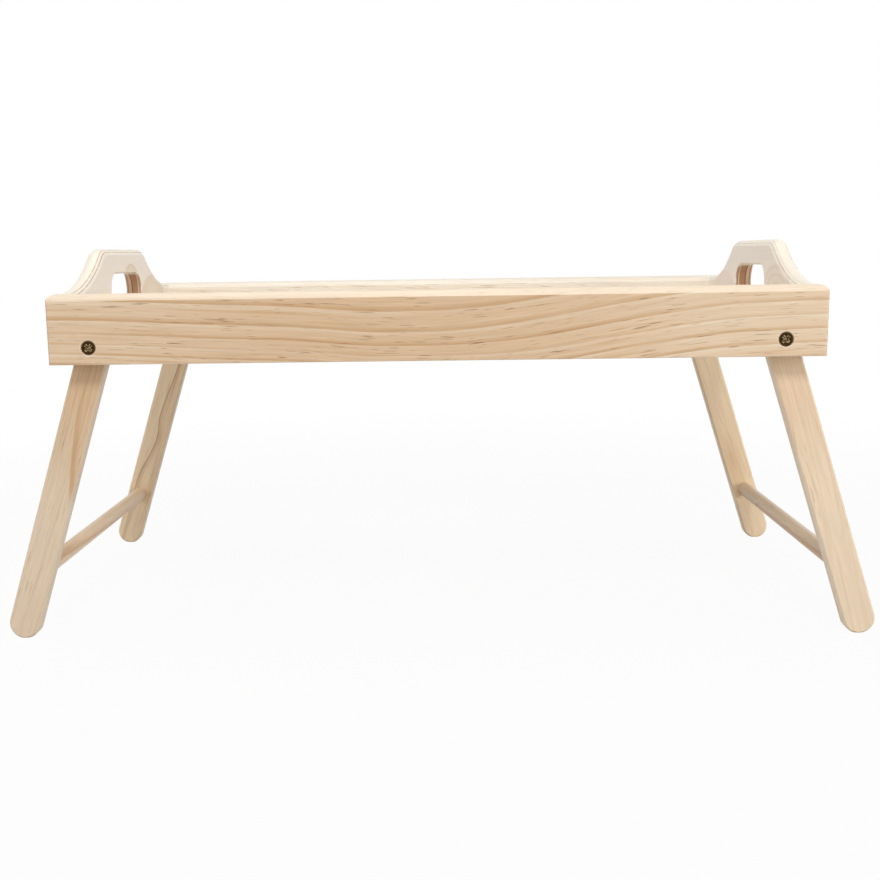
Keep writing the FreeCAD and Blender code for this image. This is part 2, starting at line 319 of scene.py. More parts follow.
class Finish(NodeTree):
    """One procedural material, with the axes that its fields are measured on."""

    def __init__(self, name):
        self.material = bpy.data.materials.new(name)
        self.material.use_nodes = True
        super().__init__(self.material.node_tree)
        coordinates = self.node("ShaderNodeTexCoord")
        self.position = coordinates.outputs["Object"]
        self.facing = coordinates.outputs["Normal"]

    def along(self, direction, origin):
        """Distance in mm along a direction, from a point given in metres."""
        scaled = direction * MM
        dot = self.node("ShaderNodeVectorMath", {"operation": "DOT_PRODUCT"}, {0: self.position, 1: scaled})
        return Field(self, dot.outputs["Value"]) - scaled.dot(origin)

    def square_to(self, direction):
        """1 where the surface faces along a direction or against it, and 0 where it runs along it."""
        dot = self.node("ShaderNodeVectorMath", {"operation": "DOT_PRODUCT"}, {0: self.facing, 1: direction})
        return abs(Field(self, dot.outputs["Value"]))

    def noise(self, x, y, z, detail=1.0):
        """Smooth noise from -1 to 1, whose swells are about one unit wide on each axis."""
        place = self.node("ShaderNodeCombineXYZ", {}, {"X": x, "Y": y, "Z": z})
        noise = self.node(
            "ShaderNodeTexNoise",
            {"noise_dimensions": "3D"},
            {"Vector": place.outputs[0], "Scale": 1.0, "Detail": detail},
        )
        return Field(self, noise.outputs[0]) * 2 - 1

    def chance(self, number):
        """A number from 0 to 1 that is drawn anew for each value of another."""
        draw = self.node("ShaderNodeTexWhiteNoise", {"noise_dimensions": "1D"}, {"W": number})
        return Field(self, draw.outputs["Value"])

    def ramp(self, value, stops):
        """Colours blended by a number from 0 to 1, through (place, colour) stops."""
        return self.node("ShaderNodeValToRGB", {"stops": stops}, {"Fac": value}).outputs["Color"]

    def mix(self, amount, first, second, blend="MIX"):
        """Two colours blended by an amount from 0 to 1."""
        sockets = {"Factor": amount, 6: self._opaque(first), 7: self._opaque(second)}
        node = self.node("ShaderNodeMix", {"data_type": "RGBA", "blend_type": blend}, sockets)
        return node.outputs[2]

    def tint(self, amount, base, shade):
        """A colour multiplied by another, by an amount from 0 to 1."""
        return self.mix(amount, base, shade, "MULTIPLY")

    def brighter(self, base, factor):
        """A colour with all of its light multiplied by a number."""
        scale = self.node("ShaderNodeVectorMath", {"operation": "SCALE"}, {0: base, "Scale": factor})
        return scale.outputs["Vector"]

    def _opaque(self, tint):
        return tint if isinstance(tint, bpy.types.NodeSocket) else (*tint, 1.0)

    def coat(self, base, height, look, roughness):
        """Wood of a colour and a relief, whose lacquer and height of relief are a look's."""
        lacquer = {"Coat Weight": look.lacquer, "Coat Roughness": look.lacquer_roughness}
        return self.surface(base, height, look.ridge, {"Roughness": roughness, **lacquer})

    def surface(self, base, height, ridge, sockets):
        """The surface itself: its colour, its relief times ridge, and the shader's other sockets."""
        bump = self.node("ShaderNodeBump", {}, {"Height": height, "Distance": ridge, "Strength": 1.0})
        sockets = {"Base Color": base, "Normal": bump.outputs["Normal"], **sockets}
        shader = self.node("ShaderNodeBsdfPrincipled", {}, sockets)
        self.node("ShaderNodeOutputMaterial", {}, {"Surface": shader.outputs[0]})
        return self.material


def dress(node, material):
    """Give a CAD piece its material, through its object's own slots."""
    piece = frame["nodes"][node]
    if not piece.material_slots:
        piece.data.materials.append(material)
    for slot in piece.material_slots:
        slot.material = material


def middle(node):
    """Centre of a piece's box."""
    low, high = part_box(node)
    return (low + high) / 2


# ------------------------------------------------------------------------------------------ pine

FIRST_RING = 40  # where the numbers of rings start, high enough to stay above 0
RING_BEND = 0.12  # how far rings stray from their formula, in rings, over a hand's width
RING_RIPPLE = 0.05  # and over a finger's width

# Place of each tone in a growth ring, from the ring's start at 0 to its end at 1.
RING_TONES = (
    (0.0, "early"),
    (0.05, "early"),
    (0.3, "middle"),
    (0.72, "middle"),
    (0.93, "late"),
    (1.0, "late"),
)
RING_STRENGTH = 0.72  # how clearly rings show
STRENGTH_DRIFT = 0.6  # how much more or less clearly one shows from place to place
DRIFT_LENGTH = 55  # mm along the ring
DRIFT_DEPTH = 30  # mm through the board
DRIFT_STEP = 3.7  # from ring to ring, in the noise's own unit
FAINT_LOSS = 0.6  # share of a faint ring's strength that is lost

# Length along the grain and width across it, in mm, of each kind of mark.
SWELL = (170, 60)
RIPPLE = (38, 9)
STREAK = (80, 2.4)
FIBRE = (30, 0.9)
DUCT = (18.0, 0.6)
DUCT_CROWD = (40, 7)

# Levels of noise between which each kind of mark comes in.
BROWN_STREAK_LEVELS = (0.0, 0.55)
PALE_STREAK_LEVELS = (0.1, 0.7)
DUCT_LEVELS = (0.33, 0.46)

# Amount of each kind of mark on wood without figure, and how much more there is on fully figured wood.
BROWN_STREAKS = (0.2, 0.5)
PALE_STREAKS = (0.15, 0.4)
DUCTS = (0.1, 0.9)
CROWDING = 0.3  # how far resin ducts keep to crowds

# How much lighter and darker each kind of mark makes the wood.
STREAK_LIGHT = 0.05
FIBRE_LIGHT = 0.16
RIPPLE_LIGHT = 0.04

# How far the surface faces along a direction, from 0 to 1, where a board's edge and its cut end begin and
# where they are reached.
EDGE_TURN = (0.2, 0.6)
END_TURN = (0.4, 0.9)
# Partly painted light: early wood's colour on edges pales the rails' tops and the legs' narrow sides.
EDGE_PALENESS = 0.85  # amount of early wood's colour on plain edges
EDGE_DUCT_LOSS = 0.7  # share of the resin ducts that plain edges lose

SCREW_RIM = 5.3  # mm from a pivot screw's axis
RIM_FADE = (0.2, 0.7)  # mm from the rim's line, between which the painted highlight ends
RIM_HIGHLIGHT = 0.2  # amount of painted highlight, which ripples change

# Relief of each kind of mark, as a share of the ridge height, and how much rougher it is.
LATE_WOOD_RISE = (0.6, 1.0)  # places in a ring between which late wood rises
FIBRE_RELIEF = 0.35
STREAK_RELIEF = 0.4
DUCT_RELIEF = 0.8
STREAK_ROUGHNESS = 0.05
END_ROUGHNESS = 0.15


def pine(
    name, axes, grain, tones, seed, figure, light=1.0, faint=None, stain=None, vein=None, edges=0.0, rims=()
):
    """Planed pine.

    axes holds an origin, the direction that the grain runs in and the direction across the board's face.
    grain(u, v, w) gives the growth ring, and the height across the board that fibres follow, at a place u mm
    along the run, v mm across the board and w mm through it. figure is the contrast of the rings, faint(ring)
    says how faint each ring is, stain and vein say how far brown streaks, painted shade and thin dark lines
    cover a place, and edges how far the board's edges are paler and plainer, partly plain grain and partly
    painted light, all from 0 to 1. light makes the whole piece paler, as painted light, and rims are the
    places of countersunk screws, each with a pale ring painted round it as a highlight.
    """
    look = table_settings().pine
    early, even, late = tones.early, tones.middle, tones.late
    origin, run, across = axes
    wood = Finish(name)
    u = wood.along(run, origin)
    v = wood.along(across, origin)
    w = wood.along(run.cross(across), origin)
    ring, flow = grain(u, v, w)

    def marks(size, detail=1.0):
        length_along, width = size
        return wood.noise(u / length_along, flow / width, w / width + seed, detail)

    def by_figure(amounts):
        plain, more = amounts
        return plain + more * figure

    ripple = marks(RIPPLE)
    streak = marks(STREAK, detail=2.0)
    fibre = marks(FIBRE, detail=3.0)

    ring = ring + marks(SWELL) * RING_BEND + ripple * RING_RIPPLE
    age = ring.fraction()
    number = ring - age
    faintness = faint(number) if faint else wood.chance(number + seed)
    drift = wood.noise(u / DRIFT_LENGTH, number * DRIFT_STEP, w / DRIFT_DEPTH + seed)
    strength = RING_STRENGTH + STRENGTH_DRIFT * drift
    stops = [(place, getattr(tones, tone)) for place, tone in RING_TONES]
    base = wood.mix((1 - faintness * FAINT_LOSS) * strength * figure, even, wood.ramp(age, stops))

    # A stain may also carry painted shade: the front legs' tops and the right stretcher's underside.
    if stain:
        base = wood.tint(stain(u, v, w), base, look.stain)
    if vein:
        base = wood.tint(vein(u, v, w), base, look.vein)
    base = wood.mix(streak.eased(*BROWN_STREAK_LEVELS) * by_figure(BROWN_STREAKS), base, late)
    base = wood.mix((0 - streak).eased(*PALE_STREAK_LEVELS) * by_figure(PALE_STREAKS), base, early)

    # Partly painted light: faces along across turn pale, so rails' tops and legs' narrow sides read as lit.
    edge = wood.square_to(across).eased(*EDGE_TURN) * (1 - wood.square_to(run)) * edges
    base = wood.mix(edge * EDGE_PALENESS, base, early)
    shade = 1 + streak * STREAK_LIGHT + fibre * FIBRE_LIGHT + ripple * RIPPLE_LIGHT
    # Painted light: light above 1 makes the whole piece paler, standing in for light that falls on it.
    base = wood.brighter(base, light * shade)

    duct = (marks(DUCT) + marks(DUCT_CROWD) * CROWDING).eased(*DUCT_LEVELS)
    duct = duct * by_figure(DUCTS) * (1 - edge * EDGE_DUCT_LOSS)
    base = wood.tint(duct, base, look.duct)
    # Painted highlight: a pale ring round each countersunk screw, where the countersink's rim catches light.
    for rim in rims:
        radius = (wood.along(run, rim) ** 2 + wood.along(across, rim) ** 2) ** 0.5
        rim_highlight_mask = 1 - abs(radius - SCREW_RIM).eased(*RIM_FADE)
        base = wood.mix(rim_highlight_mask * (RIM_HIGHLIGHT + ripple), base, look.bruise)
    end = wood.square_to(run).eased(*END_TURN)
    base = wood.tint(end, base, look.end_grain)

    ridge = age.eased(*LATE_WOOD_RISE) * figure
    height = ridge + fibre * FIBRE_RELIEF + streak * STREAK_RELIEF - duct * DUCT_RELIEF
    roughness = look.roughness + streak * STREAK_ROUGHNESS + end * END_ROUGHNESS
    return wood.coat(base, height, look, roughness)


# ------------------------------------------------------------------------------------------ rails

RAIL_HEIGHT = 45.5  # mm
RAIL_LEAN = 0.25  # how far rings climb through the board's thickness

# Climbs and sags of the rings along a rail: how far, in mm across the board, and where each starts and ends,
# in mm along the rail from its middle.
LEFT_SAG = (5.9, -260, -90)
MIDDLE_SAG = (4.6, -110, -25)
RIGHT_CLIMB = (24.5, -10, 200)
END_CLIMB = (4.5, 130, 270)
BACK_CLIMB = (15, -260, 120)

RING_LINES = (26.9, 35.6)  # mm below the rail's top, at its middle, where the rings' spacing changes
RING_SPACINGS = (13.1, 8.7, 6.6)  # mm between rings above, between and below those lines
TOP_RING = 2  # number of the ring at the first of those lines
RIGHT_SPREAD = (0.33, -10, 90)  # how much wider the lower rings lie to the right, and where that comes in
BACK_RING_SPACING = 9.5  # mm

FAINT_RING = 3
FAINT_RANGE = (0.2, 0.8)  # rings from that one, between which faintness ends

LEFT_WARMTH = 0.17  # amount of brown at the front rail's left end
MIDDLE_WARMTH = (0.28, -250, -60)  # how much more there is at its middle, and where that comes in
WARMTH_END = (40, 200)  # mm along the rail, between which the brown goes

RAIL_EDGES = 1.0  # how plain and pale the rails' routed edges are, partly painted light on their tops


def climb(u, amount, start, end):
    """A climb from 0 to an amount, between two places along a piece."""
    return amount * u.eased(start, end)


def sag(u, amount, start, end):
    """A climb from below 0 to 0, between two places along a piece."""
    return amount * (u.eased(start, end) - 1)


def front_rail_grain(u, v, w):
    """Flat-sawn rings that sag at the middle of the board and climb towards its right end."""
    sagged = sag(u, *LEFT_SAG) + sag(u, *MIDDLE_SAG)
    climbed = climb(u, *RIGHT_CLIMB) + climb(u, *END_CLIMB)
    depth = RAIL_HEIGHT - v - sagged + climbed + w * RAIL_LEAN
    first, second = RING_LINES
    upper, even, lower = RING_SPACINGS
    below_first = (depth - first).most(0) / (1 + climb(u, *RIGHT_SPREAD))
    below_second = (below_first - (second - first)).most(0)
    ring = TOP_RING + (depth - first).least(0) / upper + below_first / even
    return ring + below_second * (1 / lower - 1 / even), depth


def front_rail_warmth(u, v, w):
    """The board is browner at its middle, and palest at its right end."""
    return (LEFT_WARMTH + climb(u, *MIDDLE_WARMTH)) * (1 - u.eased(*WARMTH_END))


def front_rail_faintness(ring):
    """One ring hardly shows."""
    return 1 - abs(ring - FAINT_RING).eased(*FAINT_RANGE)


def back_rail_grain(u, v, w):
    """Rings of the paler back board, which climb towards its left end."""
    depth = climb(u, *BACK_CLIMB) + v + w * RAIL_LEAN
    return FIRST_RING - depth / BACK_RING_SPACING, depth


RAILS = {
    "front": {
        "grain": front_rail_grain,
        "seed": 3.1,
        "figure": 1.0,
        "faint": front_rail_faintness,
        "stain": front_rail_warmth,
    },
    "back": {"grain": back_rail_grain, "seed": 17.7, "figure": 0.6},
}


class TRAYTABLE_OT_rails(bpy.types.Operator):
    """Finish the front and back rails in planed pine"""

    bl_idname = "tray_table.rails"
    bl_label = "Rails"

    def execute(self, context):
        for place, board in RAILS.items():
            node = place + "_rail"
            tones = getattr(table_settings(), node)
            low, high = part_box(node)
            axes = (Vector(((low.x + high.x) / 2, low.y, low.z)), ALONG_X, UP)
            rims = [middle(f"{side}_{place}_pivot_screw") for side in ("left", "right")]
            dress(node, pine(node + "_pine", axes, tones=tones, edges=RAIL_EDGES, rims=rims, **board))
        return {"FINISHED"}


# ------------------------------------------------------------------------------------------ legs

STREAK_WIDE = 40  # mm down a leg, above which its heart streak is widest
STREAK_TAPER = 1.3  # how late the streak narrows
STREAK_LEAN = 0.3  # how far it leans through the leg
STREAK_BLUR = 0.7  # mm to each side of its edge
STREAK_RIM = (0.5, 3.5)  # mm inside its edge, between which its browner rim ends
STREAK_BROWN = (0.6, 0.4)  # how brown it is, and how much browner at its rim
STREAK_END_BLUR = 10  # mm to each side of its end
SHADED_TOP_FADE = (10, 130)  # mm down a leg, between which the painted shade at its top fades

PATCH_CENTRE = (134, 3)  # mm down the right back leg and across it
PATCH_REACH = (18, 5)  # mm
PATCH_BROWN = 0.6

VEIN_START = 2.6  # mm from the left back leg's middle
VEIN_TURNS = ((-4.2, 35, 88), (2.2, 88, 106), (-7.5, 106, 152))  # mm across, and where each starts and ends
VEIN_LEAN = 0.3  # how far the vein leans through the leg
VEIN_HALF_WIDTH = (0.15, 0.8)  # mm, its core's and its blur's
VEIN_DARKNESS = 0.85
VEIN_LOSS = (0.6, 140, 175)  # share of it that fades, and where that starts and ends
SHADE_START = 0.4  # mm to each side of the vein
SHADE_WIDTH = (0.4, 6)  # mm beside the vein, between which its shade ends
SHADE_DARKNESS = 0.4

LEG_EDGES = 0.5  # how plain and pale the legs' eased edges are, partly painted light on their narrow sides
BEND_LENGTH = 100  # mm along a piece, over which its rings bend


def leg_axes(node, stretcher, body):
    """A leg's pivot, the direction down the leg, and the direction across it towards the tray's middle."""
    pivot = HINGES[body].copy()
    pivot.y = middle(node).y
    run = middle(stretcher) - pivot
    run.y = 0
    run.normalize()
    across = run.cross(ALONG_Y)
    if across.x * pivot.x > 0:
        across.negate()
    return pivot, run, across


def straight_grain(spacing, lean, bend):
    """Rings spaced in mm, which lean through a piece and bend by some mm along it."""

    def grain(u, v, w):
        flow = v + bend * (u / BEND_LENGTH) ** 2
        return FIRST_RING + (flow + w * lean) / spacing, flow

    return grain


def heart_streak(strength, start, spread, end, shaded_top=0.0):
    """Brown streak along a leg's inner edge.

    Its edge lies start mm from the leg's middle, and spread mm more at its end, which is end mm down the leg.
    strength says how brown it is. The last argument says how far the leg's upper half is darkened brown all
    over, as painted shade under the tray rail.
    """

    def stain(u, v, w):
        edge = start + spread * ((u - STREAK_WIDE).most(0) / (end - STREAK_WIDE)) ** STREAK_TAPER
        inside = (v - edge + w * STREAK_LEAN).eased(-STREAK_BLUR, STREAK_BLUR)
        rim = 1 - (v - edge).eased(*STREAK_RIM)
        brown, browner = STREAK_BROWN
        before_end = 1 - u.eased(end - STREAK_END_BLUR, end + STREAK_END_BLUR)
        streak = inside * (brown + rim * browner) * before_end * strength
        # Painted shade: the upper half of the leg darkens brown, under the tray's rail.
        return streak.most((1 - u.eased(*SHADED_TOP_FADE)) * shaded_top)

    return stain


def brown_patch(u, v, w):
    """Faint brown patch above the right stretcher."""
    along, across = PATCH_CENTRE
    reach_along, reach_across = PATCH_REACH
    return PATCH_BROWN / (1 + ((u - along) / reach_along) ** 2 + ((v - across) / reach_across) ** 2)


def wandering_vein(u, v, w):
    """Thin dark line down the left back leg, with a brown shade under it."""
    line = VEIN_START
    for turn in VEIN_TURNS:
        line = climb(u, *turn) + line
    line = line + w * VEIN_LEAN
    off = v - line
    thin = (1 - abs(off).eased(*VEIN_HALF_WIDTH)) * (1 - climb(u, *VEIN_LOSS)) * VEIN_DARKNESS
    shade = off.eased(-SHADE_START, SHADE_START) * (1 - off.eased(*SHADE_WIDTH))
    return thin.most(shade * SHADE_DARKNESS)


# Painted shade and light: the front legs' tops are darkened under the rail; light above 1 pales a leg.
LEGS = {
    "left_front": {
        "grain": straight_grain(spacing=8.5, lean=0.5, bend=1.5),
        "seed": 5.3,
        "figure": 0.35,
        "stain": heart_streak(strength=1.0, start=0.2, spread=9.3, end=104, shaded_top=0.8),
    },
    "right_front": {
        "grain": straight_grain(spacing=9.5, lean=0.4, bend=-1.0),
        "seed": 8.9,
        "figure": 0.3,
        "light": 1.1,
        "stain": heart_streak(strength=0.7, start=3.5, spread=5.0, end=80, shaded_top=0.4),
    },
    "left_back": {
        "grain": straight_grain(spacing=5.0, lean=0.7, bend=2.5),
        "seed": 12.4,
        "figure": 0.4,
        "light": 1.1,
        "stain": heart_streak(strength=0.3, start=5.0, spread=3.0, end=190),
        "vein": wandering_vein,
    },
    "right_back": {
        "grain": straight_grain(spacing=7.5, lean=0.5, bend=1.5),
        "seed": 21.6,
        "figure": 0.3,
        "light": 1.15,
        "stain": brown_patch,
    },
}


class TRAYTABLE_OT_legs(bpy.types.Operator):
    """Finish the four legs in planed pine"""

    bl_idname = "tray_table.legs"
    bl_label = "Legs"

    def execute(self, context):
        for corner, leg in LEGS.items():
            node = corner + "_leg"
            side, place = corner.split("_")
            tones = getattr(table_settings(), place + "_legs")
            axes = leg_axes(node, side + "_stretcher", side + "_leg_frame")
            dress(node, pine(node + "_pine", axes, tones=tones, edges=LEG_EDGES, **leg))
        return {"FINISHED"}


# ------------------------------------------------------------------------------------------ stretchers

STRETCHER_FIGURE = 0.5
STRIPE_DARKNESS = 0.9

# How far a stripe leans through the dowel, mm along the dowel in which it winds by 1 mm, and the heights
# across the dowel, in mm, between which each of its edges is blurred.
WINDING_LEAN = 0.4
WINDING_PITCH = 25
WINDING_LOWER_EDGE = (-1, 0.5)
WINDING_UPPER_EDGE = (1.0, 4.5)
LOW_LEAN = 0.3
LOW_PITCH = 60
LOW_UPPER_EDGE = (-2.5, 0.5)


def winding_stripe(u, v, w):
    """Brown stripe that winds slowly round the left stretcher."""
    height = v + w * WINDING_LEAN + u / WINDING_PITCH
    above = height.eased(*WINDING_LOWER_EDGE)
    return above * (1 - height.eased(*WINDING_UPPER_EDGE)) * STRIPE_DARKNESS


def painted_underside_shade(u, v, w):
    """Painted shade: the right stretcher's underside darkened brown."""
    height = v + w * LOW_LEAN + u / LOW_PITCH
    return (1 - height.eased(*LOW_UPPER_EDGE)) * STRIPE_DARKNESS


STRETCHERS = {
    # Painted light: light above 1 makes the left stretcher paler, standing in for the light on it.
    "left": {"seed": 31.2, "light": 1.08, "stain": winding_stripe},
    "right": {"seed": 37.9, "stain": painted_underside_shade},
}


class TRAYTABLE_OT_stretchers(bpy.types.Operator):
    """Finish the round stretchers that tie each pair of legs"""

    bl_idname = "tray_table.stretchers"
    bl_label = "Stretchers"

    def execute(self, context):
        tones = table_settings().stretchers
        grain = straight_grain(spacing=4.5, lean=0.9, bend=0.4)
        for side, dowel in STRETCHERS.items():
            node = side + "_stretcher"
            axes = (middle(node), ALONG_Y, UP)
            dress(node, pine(node + "_wood", axes, grain, tones, figure=STRETCHER_FIGURE, **dowel))
        return {"FINISHED"}


# ------------------------------------------------------------------------------------------ plywood

PLY_JOINTS = (0.16, 0.4, 0.77, 0.91)  # shares of the sheet's thickness, from its outer face
JOINT_SHOWS = {"left": (0.3, 0.1, 0.9, 0.9), "right": (1.0, 0.1, 0.25, 0.6)}  # how clearly glue lines show
HOLE_JOINT_SHOWS = (0.3, 1.0, 0.3, 0.6)  # and in the hand hole, clearer there partly as painted shade
USUAL_JOINT_SHOWS = (0.5,) * 4  # and in other sheets
HOLE_REACH = 41  # mm from an end panel's middle to just past its hand hole's end
HOLE_TOP = 246  # mm from the floor to just over its hand hole
GLUE_HALF_WIDTH = (0.08, 0.28)  # mm, its core's and its blur's
HOLE_GLUE_HALF_WIDTH = (0.16, 0.52)  # mm, and in the hand hole, wider there partly as painted shade
GLUE_DASH = (5, 1.5)  # mm along the sheet and through it, of the dashes that glue lines break into
DASH_LEVELS = (-0.45, 0.1)  # noise between which a dash comes in
DASH_SHOWS = (0.35, 0.65)  # how clearly glue shows between dashes, and how much more in them

# Length along the veneer's grain and width across it, in mm, of each kind of mark, how far it moves the
# contours, in rings, and how much lighter and darker it makes the wood.
PLY_STREAK = (60, 1.6)
PLY_CLOUD = (90, 30)
PLY_FIBRE = (18, 0.5)
STREAK_FRAY = 0.04
CLOUD_DRIFT = 0.35
PLY_STREAK_LIGHT = 0.04
PLY_CLOUD_LIGHT = 0.03
PLY_FIBRE_LIGHT = 0.025

CONTOUR_FADE = (0.0, 0.5)  # places in a ring between which the brown of its start fades
PATCH_DRIFT = (6, 3)  # mm that clouds shift brown patches along the grain and across it
PATCH_FRAY = 0.4  # mm that streaks fray their rims

# The same as for a board's edge, for the sheet's face and the hand hole's end walls.
FACE_TURN = (0.6, 0.95)
WALL_TURN = (0.25, 0.6)
PLY_STREAK_RELIEF = 0.8
PLY_STREAK_ROUGHNESS = 0.04


def plywood(name, axes, thickness, contours, seed, figure, shows=USUAL_JOINT_SHOWS, hole=None, patches=None):
    """Plywood sheet.

    axes holds an origin on the outer face, the direction that this face looks in, and the direction that the
    grain of the face veneers runs in. contours(y, z) gives the height of the outer veneer's growth rings at a
    place y mm along the run and z mm across it, patches(y, z) says how far brown patches cover the inner
    veneer, and hole(y, z) is 1 round a hand hole. figure is the contrast of the veneers' rings, and shows
    says how clearly each glue line shows.
    """
    look = table_settings().plywood
    origin, outward, run = axes
    sheet = Finish(name)
    depth = sheet.along(-outward, origin)
    y = sheet.along(run, origin)
    z = sheet.along(outward.cross(run), origin)

    def marks(size, detail=1.0):
        length_along, width = size
        return sheet.noise(y / length_along, z / width, depth / width + seed, detail)

    streak = marks(PLY_STREAK, detail=2.0)
    cloud = marks(PLY_CLOUD)
    fibre = marks(PLY_FIBRE)

    joints = [joint * thickness for joint in PLY_JOINTS]
    crosswise = (depth > joints[0]) - (depth > joints[1]) + (depth > joints[2]) - (depth > joints[3])
    ring = contours(y, z) + cloud * CLOUD_DRIFT + streak * STREAK_FRAY
    line = 1 - ring.fraction().eased(*CONTOUR_FADE)
    if patches:
        inner = depth > thickness / 2
        drift_along, drift_across = PATCH_DRIFT
        patched = patches(y + cloud * drift_along, z + cloud * drift_across + streak * PATCH_FRAY)
        line = line * (1 - inner) + patched * inner
    face = sheet.mix(line * figure, look.face, look.contour)

    on_face = sheet.square_to(outward).eased(*FACE_TURN)
    # Partly painted shade: in the hand hole the plies' ends and sides turn darker than elsewhere.
    on_wall = sheet.square_to(run).eased(*WALL_TURN) * (hole(y, z) if hole else 0)
    edge = sheet.mix(on_wall * crosswise, look.edge, look.shaded_ply_side)
    edge = sheet.mix(on_wall * (1 - crosswise), edge, look.ply_end)
    base = sheet.mix(on_face, edge, face)

    dash_length, dash_depth = GLUE_DASH
    dashes = sheet.noise(y / dash_length, z / dash_length, depth / dash_depth + seed).eased(*DASH_LEVELS)
    gaps_show, dashes_show = DASH_SHOWS
    glue = 0
    hole_glue = 0
    for joint, shown, shown_in_hole in zip(joints, shows, HOLE_JOINT_SHOWS):
        off = abs(depth - joint)
        glue = (1 - off.eased(*GLUE_HALF_WIDTH)) * shown + glue
        hole_glue = (1 - off.eased(*HOLE_GLUE_HALF_WIDTH)) * shown_in_hole + hole_glue
    base = sheet.mix(glue * (gaps_show + dashes * dashes_show), base, look.glue)
    # Partly painted shade: darker, wider glue lines on the hand hole's walls.
    base = sheet.mix(hole_glue * on_wall, base, look.hole_glue)
    shade = 1 + streak * PLY_STREAK_LIGHT + cloud * PLY_CLOUD_LIGHT + fibre * PLY_FIBRE_LIGHT
    base = sheet.brighter(base, shade)

    height = streak * PLY_STREAK_RELIEF - line
    return sheet.coat(base, height, look, look.roughness + streak * PLY_STREAK_ROUGHNESS)


# ------------------------------------------------------------------------------------------ veneer figure

ARCH_STRETCH = 0.4  # an arch's height over its depth: it reaches further down than up
ARCH_RIM = (0.95, 1.05)  # shares of its reach between which it ends
ARCH_FADE = (0.0, 0.8)  # places between two rims, from 0 to 1, between which the brown fades
ARCH_LOSS = 0.65  # share of the brown that fades

# Centre and reach, in mm along Y and above the floor, and height, in rings, of the outer veneers' hills.
PANEL_HILLS = {
    "left": (((-85, 214), (34, 10), 1.6), ((70, 205), (60, 8), 1.3)),
    "right": (((-68, 218), (40, 9), 2.2), ((55, 204), (70, 8), 1.4)),
}
PANEL_START = 0.1  # ring at the floor's height
PANEL_SLOPE = 400  # mm up the panel for each ring, apart from the hills

# Centre and reach of the inner veneers' brown arches, in the same measures, how many rims each has, one
# inside the other, and how brown it is.
PANEL_ARCHES = {
    "left": (((16, 237), (20, 14), 1, 0.9), ((76, 222), (37, 20), 1, 0.75)),
    "right": (((-73, 222), (35, 22.5), 4, 0.6), ((78, 220), (34, 20), 1, 0.35)),
}
PANEL_SEEDS = {"left": 41.7, "right": 47.3}
PANEL_FIGURE = 0.75

# The same as for the outer veneers, for the tray bottom, in mm along X and Y from its middle.
BOTTOM_HILLS = (((-60, 30), (170, 42), 4.5), ((190, -70), (130, 30), 3))
BOTTOM_SLOPE = 30
BOTTOM_SEED = 53.9
BOTTOM_FIGURE = 0.5


def arch(y, z, centre, reach, rings):
    """Brown arch, darkest along its rim and along the rims of the arches nested in it."""
    above = (z - centre[1]).most(0)
    below = (centre[1] - z).most(0) * ARCH_STRETCH
    off = (((y - centre[0]) / reach[0]) ** 2 + ((above + below) / reach[1]) ** 2) ** 0.5
    fade = ((1 - off) * rings).most(0).fraction().eased(*ARCH_FADE)
    return (1 - off.eased(*ARCH_RIM)) * (1 - fade * ARCH_LOSS)


def mound(y, z, centre, reach):
    """A round hill, 1 high at its centre and half as high at its reach."""
    return 1 / (1 + ((y - centre[0]) / reach[0]) ** 2 + ((z - centre[1]) / reach[1]) ** 2)


def with_hills(level, y, z, hills):
    """A level, in rings, raised by hills."""
    for centre, reach, rings in hills:
        level = level + rings * mound(y, z, centre, reach)
    return level


class TRAYTABLE_OT_end_panels(bpy.types.Operator):
    """Finish the end panels in sanded plywood"""

    bl_idname = "tray_table.end_panels"
    bl_label = "End panels"

    def execute(self, context):
        for side, outward in (("left", -ALONG_X), ("right", ALONG_X)):
            node = side + "_end_panel"
            low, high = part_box(node)
            origin = Vector((high.x if outward.x > 0 else low.x, 0, 0))
            rise = outward.cross(ALONG_Y).z  # the sheet's second axis points up or down

            def contours(y, z, side=side, rise=rise):
                return with_hills(PANEL_START + z * rise / PANEL_SLOPE, y, z * rise, PANEL_HILLS[side])

            def patches(y, z, side=side, rise=rise):
                covered = 0
                for centre, reach, rings, brown in PANEL_ARCHES[side]:
                    covered = arch(y, z * rise, centre, reach, rings) * brown + covered
                return covered

            def hole(y, z, rise=rise):
                return (abs(y) < HOLE_REACH) * (z * rise < HOLE_TOP)

            sheet = plywood(
                node + "_plywood",
                axes=(origin, outward, ALONG_Y),
                thickness=(high.x - low.x) * MM,
                contours=contours,
                seed=PANEL_SEEDS[side],
                figure=PANEL_FIGURE,
                shows=JOINT_SHOWS[side],
                hole=hole,
                patches=patches,
            )
            dress(node, sheet)
        return {"FINISHED"}


class TRAYTABLE_OT_tray_bottom(bpy.types.Operator):
    """Finish the thin sheet that closes the tray"""

    bl_idname = "tray_table.tray_bottom"
    bl_label = "Tray bottom"

    def execute(self, context):
        low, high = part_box("tray_bottom")

        def contours(y, z):
            return with_hills(z / BOTTOM_SLOPE, y, z, BOTTOM_HILLS)

        axes = (Vector((0, 0, high.z)), UP, ALONG_X)
        thickness = (high.z - low.z) * MM
        sheet = plywood("tray_bottom_plywood", axes, thickness, contours, BOTTOM_SEED, BOTTOM_FIGURE)
        dress("tray_bottom", sheet)
        return {"FINISHED"}


# ------------------------------------------------------------------------------------------ screws

